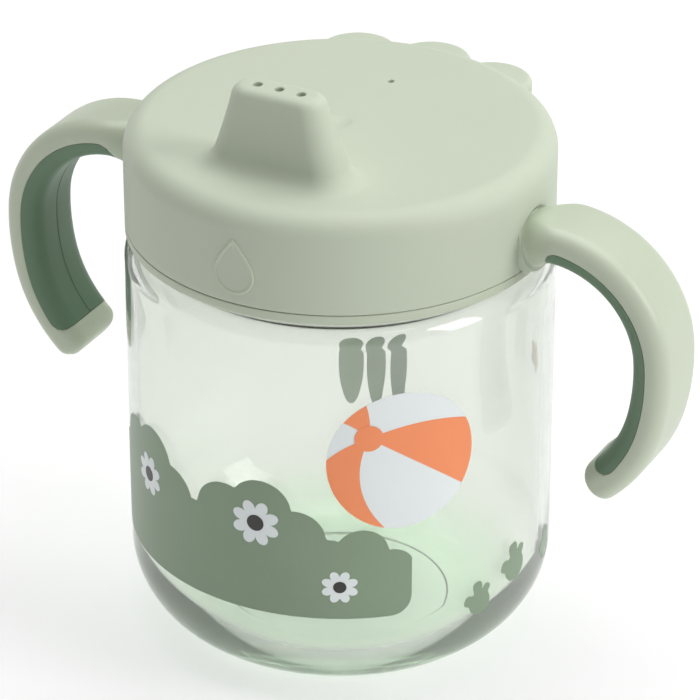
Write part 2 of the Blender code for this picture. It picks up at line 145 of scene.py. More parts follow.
def place_face(piece: bpy.types.Object, ring: list[Solid]) -> None:
    """Move the one selected face's corners to a ring of points, in edit mode.

    Args:
        piece: The piece in edit mode.
        ring: A place for each corner of the face.
    """
    cage = bmesh.from_edit_mesh(piece.data)
    face = next(f for f in cage.faces if f.select)
    for corner, point in zip(face.verts, ring):
        corner.co = point
    bmesh.update_edit_mesh(piece.data)


def lofted(name: str, rings: list[list[Solid]], closed_tip: bool = False) -> bpy.types.Object:
    """Extrude a disc from ring to ring into a closed solid.

    Args:
        name: The new piece's name.
        rings: Rings of points, all of the same count.
        closed_tip: Whether both end rings are drawn together into points.

    Returns:
        The new piece.
    """
    start_clean()
    bpy.ops.mesh.primitive_circle_add(vertices=len(rings[0]), radius=MM, fill_type="NGON")
    piece = bpy.context.active_object
    piece.name = name
    bpy.ops.object.mode_set(mode="EDIT")
    place_face(piece, rings[0])
    for ring in rings[1:]:
        bpy.ops.mesh.extrude_region_move()
        place_face(piece, ring)
    if closed_tip:
        bpy.ops.mesh.merge(type="CENTER")
        cage = bmesh.from_edit_mesh(piece.data)
        first = max(cage.faces, key=lambda f: len(f.verts))
        bpy.ops.mesh.select_all(action="DESELECT")
        first.select_set(True)
        cage.select_flush(True)
        bmesh.update_edit_mesh(piece.data)
        bpy.ops.mesh.merge(type="CENTER")
    bpy.ops.mesh.select_all(action="SELECT")
    bpy.ops.mesh.normals_make_consistent(inside=False)
    bpy.ops.object.mode_set(mode="OBJECT")
    return piece


def turned(name: str, outline: list[Flat], steps: int, loop: bool = False) -> bpy.types.Object:
    """Draw a (radius, height) outline by extruding one point, then spin it round the Z axis.

    Args:
        name: The new piece's name.
        outline: The outline's points, from the axis to the axis, or all the way round.
        steps: How many flat sides the turned piece has.
        loop: Whether the outline closes on its first point.

    Returns:
        The new piece.
    """
    start_clean()
    bpy.ops.mesh.primitive_plane_add(size=MM)
    piece = bpy.context.active_object
    piece.name = name
    bpy.ops.object.mode_set(mode="EDIT")
    bpy.ops.mesh.merge(type="CENTER")
    bpy.ops.transform.translate(value=(outline[0][0], 0.0, outline[0][1]))
    path = outline + [outline[0]] if loop else outline
    for before, after in zip(path, path[1:]):
        step = (after[0] - before[0], 0.0, after[1] - before[1])
        bpy.ops.mesh.extrude_vertices_move(TRANSFORM_OT_translate={"value": step})
    bpy.ops.mesh.select_all(action="SELECT")
    bpy.ops.mesh.spin(steps=steps, angle=math.tau, center=(0, 0, 0), axis=(0, 0, 1))
    bpy.ops.mesh.select_all(action="SELECT")
    bpy.ops.mesh.remove_doubles(threshold=1e-6)
    bpy.ops.mesh.normals_make_consistent(inside=False)
    bpy.ops.object.mode_set(mode="OBJECT")
    return piece


def meet(piece: bpy.types.Object, tool: bpy.types.Object, how: Join) -> None:
    """Join a tool solid to a piece, or cut it out, and remove the tool.

    Args:
        piece: The piece that stays.
        tool: The solid that is used up.
        how: Whether it is added or cut out.
    """
    pick_only(piece)
    modifier = piece.modifiers.new(tool.name, "BOOLEAN")
    modifier.object = tool
    modifier.operation = how.value
    modifier.solver = "EXACT"
    bpy.ops.object.modifier_apply(modifier=modifier.name)
    bpy.data.objects.remove(tool, do_unlink=True)


def finish_piece(
    piece: bpy.types.Object, finish: "Finish", body: Body
) -> None:
    """Smooth a piece, give it its finish and let it ride on its body.

    Args:
        piece: The piece, in its place.
        finish: What it is made of.
        body: The body that carries it.
    """
    pick_only(piece)
    bpy.ops.object.shade_smooth_by_angle(angle=math.radians(32.0))
    piece.data.materials.clear()
    piece.data.materials.append(finish.material())
    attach(piece, body.value)
    LOG.info("%s: %d faces, %s", piece.name, len(piece.data.polygons), finish.name)


# ---------------------------------------------------------------- finishes


@dataclass(frozen=True)
class Finish:
    """A moulded material with a fine skin, slight clouding and a slightly uneven gloss."""

    name: str
    colour: Solid
    shade: Solid
    roughness: float = 0.45
    roughness_spread: float = 0.08
    cloud_scale: float = 38.0
    grain_scale: float = 2600.0
    grain_height: float = 0.00001
    sheen: float = 0.0
    coat: float = 0.0
    coat_roughness: float = 0.2
    softness: float = 0.0
    specular: float = 0.5

    def material(self) -> bpy.types.Material:
        """Return this finish's material, made once and then shared."""
        found = bpy.data.materials.get(self.name)
        return found if found is not None else self.make()

    def make(self) -> bpy.types.Material:
        """Build the node tree: clouded colour, uneven gloss and a fine moulded grain.

        Returns:
            The new material.
        """
        material = bpy.data.materials.new(self.name)
        material.use_nodes = True
        tree = material.node_tree
        shader = tree.nodes["Principled BSDF"]
        place = tree.nodes.new("ShaderNodeTexCoord")
        clouds = self.noise(tree, place, self.cloud_scale, 4.0)
        specks = self.noise(tree, place, self.cloud_scale * 14.0, 2.0)
        grain = self.noise(tree, place, self.grain_scale, 3.0)
        blend = tree.nodes.new("ShaderNodeMix")
        blend.data_type = "FLOAT"
        blend.inputs["Factor"].default_value = 0.3
        tree.links.new(clouds.outputs["Fac"], blend.inputs["A"])
        tree.links.new(specks.outputs["Fac"], blend.inputs["B"])
        tint = tree.nodes.new("ShaderNodeValToRGB")
        tint.color_ramp.elements[0].position = 0.3
        tint.color_ramp.elements[1].position = 0.7
        tint.color_ramp.elements[0].color = (*self.shade, 1.0)
        tint.color_ramp.elements[1].color = (*self.colour, 1.0)
        tree.links.new(blend.outputs["Result"], tint.inputs["Fac"])
        tree.links.new(tint.outputs["Color"], shader.inputs["Base Color"])
        gloss = tree.nodes.new("ShaderNodeMapRange")
        gloss.inputs["To Min"].default_value = max(self.roughness - self.roughness_spread, 0.0)
        gloss.inputs["To Max"].default_value = self.roughness + self.roughness_spread
        tree.links.new(specks.outputs["Fac"], gloss.inputs["Value"])
        tree.links.new(gloss.outputs["Result"], shader.inputs["Roughness"])
        bump = tree.nodes.new("ShaderNodeBump")
        bump.inputs["Distance"].default_value = self.grain_height
        tree.links.new(grain.outputs["Fac"], bump.inputs["Height"])
        tree.links.new(bump.outputs["Normal"], shader.inputs["Normal"])
        shader.inputs["Sheen Weight"].default_value = self.sheen
        shader.inputs["Coat Weight"].default_value = self.coat
        shader.inputs["Coat Roughness"].default_value = self.coat_roughness
        shader.inputs["Specular IOR Level"].default_value = self.specular
        if self.softness > 0.0:
            shader.inputs["Subsurface Weight"].default_value = self.softness
            shader.inputs["Subsurface Radius"].default_value = (0.9, 1.0, 0.7)
            shader.inputs["Subsurface Scale"].default_value = 0.0015
        return material

    @staticmethod
    def noise(
        tree: bpy.types.NodeTree, place: bpy.types.Node, scale: float, detail: float
    ) -> bpy.types.Node:
        """Add a noise texture that reads a piece's own coordinates.

        Args:
            tree: The material's nodes.
            place: The Texture Coordinate node.
            scale: The noise's scale, per metre.
            detail: How many octaves it has.

        Returns:
            The new node.
        """
        noise = tree.nodes.new("ShaderNodeTexNoise")
        noise.inputs["Scale"].default_value = scale
        noise.inputs["Detail"].default_value = detail
        tree.links.new(place.outputs["Object"], noise.inputs["Vector"])
        return noise


def height_fade(
    tree: bpy.types.NodeTree, place: bpy.types.NodeSocket, height: float, low: Solid, high: Solid
) -> bpy.types.NodeSocket:
    """Add nodes that fade one colour into another with height.

    Args:
        tree: The nodes to add to.
        place: The socket that gives the place.
        height: Where the fade ends; it begins at zero.
        low: The colour at the bottom.
        high: The colour at the top.

    Returns:
        The socket that gives the colour.
    """
    split = tree.nodes.new("ShaderNodeSeparateXYZ")
    rise = tree.nodes.new("ShaderNodeMapRange")
    rise.inputs["From Max"].default_value = height
    fade = tree.nodes.new("ShaderNodeValToRGB")
    fade.color_ramp.elements[0].color = (*low, 1.0)
    fade.color_ramp.elements[1].color = (*high, 1.0)
    tree.links.new(place, split.inputs["Vector"])
    tree.links.new(split.outputs["Z"], rise.inputs["Value"])
    tree.links.new(rise.outputs["Result"], fade.inputs["Fac"])
    return fade.outputs["Color"]


@dataclass(frozen=True)
class ClearPlastic:
    """Clear plastic that is greener where it is thick, with a faintly wavy surface; its skin colour carries
    painted green shade near the foot, standing in for the light that the thick base holds back.
    """

    name: str = "pale_green_clear"
    tint: Solid = (0.52, 0.78, 0.50)
    density: float = 34.0
    skin: Solid = (0.955, 0.955, 0.935)
    # Painted green shade: the skin's colour at the foot, and the height over which it fades into the clear
    # skin.
    painted_foot_shade: Solid = (0.780, 0.920, 0.780)
    painted_shade_height: float = 9.0 * MM
    ior: float = 1.44
    wave_scale: float = 55.0
    wave_height: float = 0.00001
    polish: float = 0.005
    haze: float = 0.03
    clearness: float = 0.90
    lamp_tint: Solid = (0.972, 0.976, 0.970)

    def material(self) -> bpy.types.Material:
        """Return the clear plastic, which lets most of the lamps' light through, made once.

        Returns:
            The material.
        """
        found = bpy.data.materials.get(self.name)
        if found is not None:
            return found
        material = bpy.data.materials.new(self.name)
        material.use_nodes = True
        tree = material.node_tree
        shader = tree.nodes["Principled BSDF"]
        out = tree.nodes["Material Output"]
        shader.inputs["IOR"].default_value = self.ior
        shader.inputs["Transmission Weight"].default_value = self.clearness
        place = tree.nodes.new("ShaderNodeTexCoord")
        # The base colour is painted green shade at the foot, fading into the clear skin above, in place of
        # the light held back in the thick base.
        skin = height_fade(tree, place.outputs["Object"], self.painted_shade_height, self.painted_foot_shade, self.skin)
        tree.links.new(skin, shader.inputs["Base Color"])
        waves = Finish.noise(tree, place, self.wave_scale, 1.0)
        cloud = Finish.noise(tree, place, self.wave_scale * 6.0, 3.0)
        gloss = tree.nodes.new("ShaderNodeMapRange")
        gloss.inputs["To Min"].default_value = self.polish
        gloss.inputs["To Max"].default_value = self.haze
        tree.links.new(cloud.outputs["Fac"], gloss.inputs["Value"])
        tree.links.new(gloss.outputs["Result"], shader.inputs["Roughness"])
        bump = tree.nodes.new("ShaderNodeBump")
        bump.inputs["Distance"].default_value = self.wave_height
        tree.links.new(waves.outputs["Fac"], bump.inputs["Height"])
        tree.links.new(bump.outputs["Normal"], shader.inputs["Normal"])
        depth = tree.nodes.new("ShaderNodeVolumeAbsorption")
        depth.inputs["Color"].default_value = (*self.tint, 1.0)
        depth.inputs["Density"].default_value = self.density
        tree.links.new(depth.outputs["Volume"], out.inputs["Volume"])
        path = tree.nodes.new("ShaderNodeLightPath")
        through = tree.nodes.new("ShaderNodeBsdfTransparent")
        through.inputs["Color"].default_value = (*self.lamp_tint, 1.0)
        both = tree.nodes.new("ShaderNodeMixShader")
        tree.links.new(path.outputs["Is Shadow Ray"], both.inputs["Fac"])
        tree.links.new(shader.outputs["BSDF"], both.inputs[1])
        tree.links.new(through.outputs["BSDF"], both.inputs[2])
        tree.links.new(both.outputs["Shader"], out.inputs["Surface"])
        return material


@dataclass(frozen=True)
class Ink(Finish):
    """A smooth printing ink."""

    roughness: float = 0.36
    roughness_spread: float = 0.05
    cloud_scale: float = 90.0
    grain_height: float = 0.000003


SOFT_SAGE = Finish(
    "soft_sage_silicone", (0.535, 0.590, 0.472), (0.520, 0.574, 0.458), roughness=0.55, sheen=0.04,
    softness=0.10, specular=0.3, grain_scale=3400.0, grain_height=0.000006,
)
HARD_SAGE = Finish(
    "hard_sage_plastic", (0.520, 0.578, 0.450), (0.505, 0.562, 0.436), roughness=0.40, coat=0.12,
    coat_roughness=0.35, grain_scale=2200.0, grain_height=0.000005,
)
DARK_GRIP = Finish(
    "soft_dark_grip", (0.125, 0.215, 0.130), (0.113, 0.197, 0.118), roughness=0.50, sheen=0.08,
    grain_scale=3000.0, grain_height=0.000009,
)
WHITE_SEAL = Finish(
    "pale_seal_silicone", (0.82, 0.84, 0.78), (0.78, 0.80, 0.74), roughness=0.55, sheen=0.1, softness=0.2,
)
LEAF_INK = Ink("leaf_green_ink", (0.235, 0.320, 0.215), (0.222, 0.304, 0.202), roughness=0.38)
WHITE_INK = Ink("cool_white_ink", (0.800, 0.850, 0.850), (0.780, 0.830, 0.830))
ORANGE_INK = Ink("orange_ink", (0.935, 0.290, 0.115), (0.905, 0.275, 0.106))
DARK_INK = Ink("charcoal_ink", (0.030, 0.028, 0.026), (0.022, 0.021, 0.020), roughness=0.34)


# ---------------------------------------------------------------- shared sizes


@dataclass(frozen=True)
class Sizes:
    """The sizes that more than one piece follows."""

    cup_radius: float = 40.3 * MM
    shoulder_z: float = 80.7 * MM
    neck_radius: float = 34.8 * MM
    neck_top_z: float = 96.8 * MM
    ring_bore: float = 36.2 * MM
    ring_radius: float = 37.9 * MM
    ring_bottom_z: float = 81.9 * MM
    lip_top_z: float = 83.85 * MM
    flange_z: float = 98.7 * MM
    flange_bore: float = 31.2 * MM
    ring_top_z: float = 100.4 * MM
    cover_radius: float = 40.0 * MM
    cover_bore: float = 38.2 * MM
    cover_low_z: float = 83.95 * MM
    cover_ceiling_z: float = 100.7 * MM
    cover_top_z: float = 102.7 * MM
    pad_half_width: float = 6.2 * MM
    pad_top_z: float = 94.15 * MM
    lead: float = 8.0 * MM
    thread_depth: float = 1.0 * MM
    thread_start_z: float = 86.1 * MM
    sides: int = 160


SIZES = Sizes()


def ridge(
    name: str, wall: float, inward: bool, low_z: float, sweep: float, first: float
) -> bpy.types.Object:
    """Make one helical thread ridge that tapers into its round wall at both ends.

    Args:
        name: The ridge's name.
        wall: The wall's radius.
        inward: Whether the ridge points at the axis.
        low_z: The height of its lower end.
        sweep: How far it turns, in degrees.
        first: The angle of its lower end, in degrees.

    Returns:
        The ridge, as a closed solid.
    """
    sign = -1.0 if inward else 1.0
    steps = round(sweep / 4.0)
    rings = []
    for index in range(steps + 1):
        turn = math.radians(first + sweep * index / steps)
        height = low_z + SIZES.lead * sweep * index / steps / 360.0
        full = ease(min(index, steps - index) / 5.0 + 0.1)
        crest = wall + sign * SIZES.thread_depth * full
        root = wall - sign * 0.5 * MM
        section = [(root, -0.95 * MM), (root, 0.95 * MM)]
        section += [(crest - sign * 0.15 * MM * full, 0.5 * MM), (crest, 0.3 * MM)]
        section += [(crest, -0.3 * MM), (crest - sign * 0.15 * MM * full, -0.5 * MM)]
        rings.append([(r * math.cos(turn), r * math.sin(turn), height + rise) for r, rise in section])
    return lofted(name, rings)


# ---------------------------------------------------------------- tumbler


@dataclass
class Tumbler:
    """The clear tumbler: a thick rounded base, a straight wall, a shoulder and a threaded neck."""

    wall: float = 2.0 * MM
    floor: float = 3.6 * MM
    base_round: float = 17.0 * MM
    inside_round: float = 16.0 * MM
    shoulder_round: float = 4.3 * MM
    rim_round: float = 0.7 * MM
    foot_radius: float = 21.8 * MM
    foot_lift: float = 0.7 * MM
    thread_sweep: float = 240.0

    def outside_radius(self, height: float) -> float:
        """Return the outside's radius at a height on the wall or on the base's round.

        Args:
            height: The height above the table.

        Returns:
            The radius.
        """
        if height >= self.base_round:
            return SIZES.cup_radius
        drop = self.base_round - max(height, 0.0)
        return SIZES.cup_radius - self.base_round + math.sqrt(self.base_round ** 2 - drop ** 2)

    def outline(self) -> list[Flat]:
        """Draw half of the tumbler's section.

        Returns:
            The outline, from the axis below to the axis inside.
        """
        radius, top = SIZES.cup_radius, SIZES.shoulder_z
        neck, bore = SIZES.neck_radius, SIZES.neck_radius - self.wall
        centre = (radius - self.shoulder_round, top - self.shoulder_round)
        lift, rim = self.foot_lift, self.rim_round
        points = [(0.0, lift), (8 * MM, lift), (self.foot_radius - 2 * lift, lift)]
        points += arc((self.foot_radius - 2 * lift, 0.0), lift, 90, 20, 3)
        points += arc((radius - self.base_round, self.base_round), self.base_round, -88, 0, 26)
        points += [(radius, z) for z in between(self.base_round, centre[1], 8 * MM)]
        points += arc(centre, self.shoulder_round, 0, 90, 10)
        points += arc((neck + MM, top + MM), MM, 270, 180, 4)
        points += [(neck, z) for z in between(top + MM, SIZES.neck_top_z - rim, 5 * MM)]
        points += arc((neck - rim, SIZES.neck_top_z - rim), rim, 0, 90, 4)
        points += arc((bore + rim, SIZES.neck_top_z - rim), rim, 90, 180, 4)
        points += arc((bore + MM, top - self.wall + MM), MM, 180, 270, 4)
        points += arc(centre, self.shoulder_round - self.wall, 90, 0, 6)
        inner, curve = radius - self.wall, self.inside_round
        points += [(inner, z) for z in between(centre[1], self.floor + curve, 8 * MM)]
        points += arc((inner - curve, self.floor + curve), curve, 0, -90, 20)
        points += [(14 * MM, self.floor - 0.12 * MM), (0.0, self.floor - 0.2 * MM)]
        return points

    def build(self) -> None:
        """Turn the tumbler, add both thread ridges and dress it."""
        cup = turned("tumbler", self.outline(), SIZES.sides)
        for start in (0, 1):
            name, first = f"neck_ridge_{start}", 180.0 * start
            thread = ridge(name, SIZES.neck_radius, False, SIZES.thread_start_z, self.thread_sweep, first)
            meet(cup, thread, Join.ADD)
        finish_piece(cup, ClearPlastic(), Body.CUP)
        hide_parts("cup_body")


# ---------------------------------------------------------------- printed shapes


@dataclass
class Print:
    """One thin printed shape, drawn flat and laid on the tumbler's outside.

    The outline's points are (distance to the right along the wall, height above the base).
    """

    name: str
    outline: list[Flat]
    angle: float
    ink: Ink
    tumbler: Tumbler
    layer: int = 0
    film: float = 0.03 * MM
    strip: float = 1.5 * MM

    def build(self) -> None:
        """Fill the outline, slice it into narrow strips, wrap it and give it its film thickness."""
        start_clean()
        bpy.ops.mesh.primitive_circle_add(vertices=len(self.outline), radius=MM, fill_type="NGON")
        piece = bpy.context.active_object
        piece.name = self.name
        bpy.ops.object.mode_set(mode="EDIT")
        place_face(piece, [(u, 0.0, z) for u, z in self.outline])
        across = [u for u, _ in self.outline]
        heights = [z for _, z in self.outline]
        for cut in between(min(across), max(across), self.strip):
            bpy.ops.mesh.select_all(action="SELECT")
            bpy.ops.mesh.bisect(plane_co=(cut, 0.0, 0.0), plane_no=(1.0, 0.0, 0.0))
        for cut in between(min(heights), min(max(heights), self.tumbler.base_round), self.strip):
            bpy.ops.mesh.select_all(action="SELECT")
            bpy.ops.mesh.bisect(plane_co=(0.0, 0.0, cut), plane_no=(0.0, 0.0, 1.0))
        bpy.ops.object.mode_set(mode="OBJECT")
        lift = (0.5 + 1.5 * self.layer) * self.film
        for corner in piece.data.vertices:
            turn = math.radians(self.angle) + corner.co.x / SIZES.cup_radius
            radius = self.tumbler.outside_radius(corner.co.z) + lift
            corner.co = (radius * math.cos(turn), radius * math.sin(turn), corner.co.z)
        self.thicken(piece)
        finish_piece(piece, self.ink, Body.CUP)

    def thicken(self, piece: bpy.types.Object) -> None:
        """Turn the film's faces outwards and give it its thickness.

        Args:
            piece: The wrapped film.
        """
        pick_only(piece)
        bpy.ops.object.mode_set(mode="EDIT")
        bpy.ops.mesh.select_all(action="SELECT")
        bpy.ops.mesh.normals_make_consistent(inside=False)
        faces = bmesh.from_edit_mesh(piece.data).faces
        if sum(f.normal.xy.dot(f.calc_center_median().xy) for f in faces) < 0.0:
            bpy.ops.mesh.flip_normals()
        bpy.ops.object.mode_set(mode="OBJECT")
        wall = piece.modifiers.new("film", "SOLIDIFY")
        wall.thickness = self.film
        wall.offset = 1.0
        bpy.ops.object.modifier_apply(modifier=wall.name)


@dataclass
class Prints:
    """Everything printed on the tumbler: a ball, a hedge with daisies, leaf tufts, leaves and a blossom."""

    tumbler: Tumbler
    ball_angle: float = -45.5
    ball_height: float = 53.5 * MM
    ball_radius: float = 14.05 * MM
    hub: Flat = (-6.3 * MM, 5.4 * MM)
    hub_radius: float = 2.65 * MM
    daisies: tuple[Solid, ...] = (
        (-84.5, 39.5 * MM, 0.95), (-124.0, 39.0 * MM, 0.85), (-62.0, 27.5 * MM, 0.7)
    )
    hedge_angle: float = -94.0
    hedge_reach: Flat = (-38.6 * MM, 36.0 * MM)
    hedge_foot: float = 20.6 * MM
    hedge_corner: float = 4.0 * MM
    bushes: tuple[Solid, ...] = (
        (-33.5, 35.0, 6.4), (-27.4, 41.2, 6.6), (-19.6, 43.4, 6.2), (-13.4, 38.6, 6.0),
        (-7.0, 34.6, 5.6), (0.4, 39.8, 6.4), (7.6, 42.6, 6.0), (14.2, 37.4, 5.8),
        (20.4, 32.2, 5.4), (26.6, 34.6, 5.0), (32.0, 30.4, 4.6),
    )
    blossom_place: Flat = (38.0, 50.0 * MM)

    def build(self) -> None:
        """Make every printed shape."""
        self.build_ball()
        self.build_hedge()
        self.build_daisies()
        self.build_leaves()

    def shape(self, name: str, outline: list[Flat], angle: float, ink: Ink, layer: int = 0) -> None:
        """Lay one outline on the tumbler."""
        Print(name, outline, angle, ink, self.tumbler, layer).build()

    def rim_point(self, degrees: float) -> Flat:
        """Return a point on the ball's rim, from the ball's centre."""
        return arc((0.0, 0.0), self.ball_radius, degrees, degrees, 1)[0]

    def bowed(self, start: Flat, end: Flat, bow: float) -> list[Flat]:
        """Return a line bowed to its left by a distance, without its last point.

        Args:
            start: The first point.
            end: The last point.
            bow: How far the middle stands off the straight line.

        Returns:
            Points along the bowed line.
        """
        along = (end[0] - start[0], end[1] - start[1])
        length = math.hypot(*along)
        side = (-along[1] / length, along[0] / length)
        points = []
        for index in range(14):
            share = index / 14
            lift = bow * 4.0 * share * (1.0 - share)
            points.append((
                start[0] + along[0] * share + side[0] * lift,
                start[1] + along[1] * share + side[1] * lift,
            ))
        return points

    def panel(self, first: float, last: float, first_bow: float, last_bow: float) -> list[Flat]:
        """Return one coloured ball panel, from the hub out to the rim and back.

        Args:
            first: Where it meets the rim, in degrees round the ball's centre.
            last: Where it leaves the rim.
            first_bow: How far its first edge bows.
            last_bow: How far its last edge bows.

        Returns:
            The outline, on the wall.
        """
        points = self.bowed(self.hub, self.rim_point(first), first_bow)
        points += arc((0.0, 0.0), self.ball_radius, first, last, 24)
        points += self.bowed(self.rim_point(last), self.hub, last_bow)[1:]
        return [(u, v + self.ball_height) for u, v in points]

    def build_ball(self) -> None:
        """Print the ball: a white disc with three orange panels and an orange hub."""
        disc = arc((0.0, self.ball_height), self.ball_radius, 0, 357, 119)
        self.shape("ball_disc", disc, self.ball_angle, WHITE_INK)
        panels = {
            "ball_panel_right": (-32.0, 26.0, 0.3 * MM, -1.7 * MM),
            "ball_panel_low": (176.0, 256.0, -0.6 * MM, 3.0 * MM),
            "ball_panel_top": (119.0, 141.0, -0.4 * MM, 0.3 * MM),
        }
        for name, values in panels.items():
            self.shape(name, self.panel(*values), self.ball_angle, ORANGE_INK, 1)
        hub = arc((self.hub[0], self.hub[1] + self.ball_height), self.hub_radius, 0, 350, 35)
        self.shape("ball_hub", hub, self.ball_angle, ORANGE_INK, 2)

    def build_hedge(self) -> None:
        """Print a row of round bushes that share one straight foot."""
        (left, right), corner, steps = self.hedge_reach, self.hedge_corner, 260
        top, bottom = [], []
        for index in range(steps + 1):
            u = left + (right - left) * index / steps
            heights = [
                z * MM + math.sqrt((r * MM) ** 2 - (u - c * MM) ** 2)
                for c, z, r in self.bushes if abs(u - c * MM) < r * MM
            ]
            ends = min(min(u - left, right - u) / corner, 1.0)
            low = self.hedge_foot + corner * (1.0 - math.sqrt(1.0 - (1.0 - ends) ** 2))
            top.append((u, max(max(heights, default=low), low + 0.1 * MM)))
            bottom.append((u, low))
        self.shape("hedge", bottom + top[::-1], self.hedge_angle, LEAF_INK)

    def build_daisies(self) -> None:
        """Print white daisies with dark centres on the bushes."""
        for number, (angle, height, size) in enumerate(self.daisies):
            outline = []
            for index in range(160):
                turn = math.tau * index / 160
                radius = (3.1 + 1.9 * abs(math.sin(4.0 * turn)) ** 0.7) * MM * size
                outline.append((radius * math.cos(turn), height + radius * math.sin(turn)))
            self.shape(f"daisy_petals_{number}", outline, angle, WHITE_INK, 1)
            centre = arc((0.0, height), 1.75 * MM * size, 0, 350, 35)
            self.shape(f"daisy_centre_{number}", centre, angle, DARK_INK, 2)

    def build_leaves(self) -> None:
        """Print the low leaf tufts, the tall leaves at the back and a small orange blossom."""
        tufts = ((-21.8, 19.4, 1.0), (-7.7, 23.0, 1.15), (13.3, 19.2, 1.0))
        for number, (angle, height, scale) in enumerate(tufts):
            self.shape(f"leaf_tuft_{number}", self.tuft(height * MM, 3.9 * MM * scale), angle, LEAF_INK)
        for number, (angle, height, width, tall) in enumerate((
            (115.2, 31.0, 2.6, 10.0), (107.8, 31.0, 2.0, 10.2), (101.0, 31.4, 1.8, 10.4)
        )):
            leaf = [(width * u, (height * MM + tall * v)) for u, v in arc((0.0, 0.0), MM, 0, 354, 59)]
            self.shape(f"tall_leaf_{number}", leaf, angle, LEAF_INK)
        blossom = []
        place, height = self.blossom_place
        for index in range(120):
            angle = math.tau * index / 120
            radius = (1.9 + 1.5 * abs(math.sin(2.5 * angle)) ** 0.8) * MM
            blossom.append((radius * math.cos(angle), height + radius * math.sin(angle)))
        self.shape("blossom", blossom, place, ORANGE_INK)
        self.shape("blossom_centre", arc((0.0, height), 1.1 * MM, 0, 345, 23), place, WHITE_INK, 1)

    def tuft(self, height: float, size: float) -> list[Flat]:
        """Return a tuft of three leaves that open upwards from one foot.

        Args:
            height: The foot's height.
            size: The tallest leaf's length.

        Returns:
            The outline, on the wall.
        """
        points = []
        foot = height - size * 0.3
        for index in range(90):
            angle = math.tau * index / 90
            reach = 0.66 * size
            for lean, length, width in ((158.0, 0.98, 0.56), (98.0, 1.22, 0.44), (58.0, 1.04, 0.40)):
                off = math.remainder(angle - math.radians(lean), math.tau)
                reach = max(reach, size * length * math.exp(-((off / width) ** 4)))
            points.append((reach * math.cos(angle), foot + reach * math.sin(angle)))
        return points


# ---------------------------------------------------------------- neck seal


@dataclass
class NeckSeal:
    """The soft washer between the tumbler's rim and the ring's top flange, with two fine ribs."""

    bore: float = 33.1 * MM
    radius: float = 35.9 * MM
    low_z: float = 97.1 * MM
    high_z: float = 98.4 * MM
    edge: float = 0.35 * MM
    rib: float = 0.18 * MM

    def build(self) -> None:
        """Turn the washer and dress it."""
        middle = (self.bore + self.radius) / 2
        edge, rib = self.edge, self.rib
        outline = arc((self.radius - edge, self.low_z + rib + edge), edge, -90, 0, 4)
        outline += arc((self.radius - edge, self.high_z - edge), edge, 0, 90, 4)
        outline += arc((self.bore + edge, self.high_z - edge), edge, 90, 180, 4)
        outline += arc((self.bore + edge, self.low_z + rib + edge), edge, 180, 270, 4)
        for offset in (-0.5 * MM, 0.5 * MM):
            outline += arc((middle + offset, self.low_z + rib), rib, 180, 360, 6)
        seal = turned("rim_seal", outline, SIZES.sides, loop=True)
        finish_piece(seal, WHITE_SEAL, Body.SEAL)
        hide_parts("neck_seal")


# ---------------------------------------------------------------- ring and handles


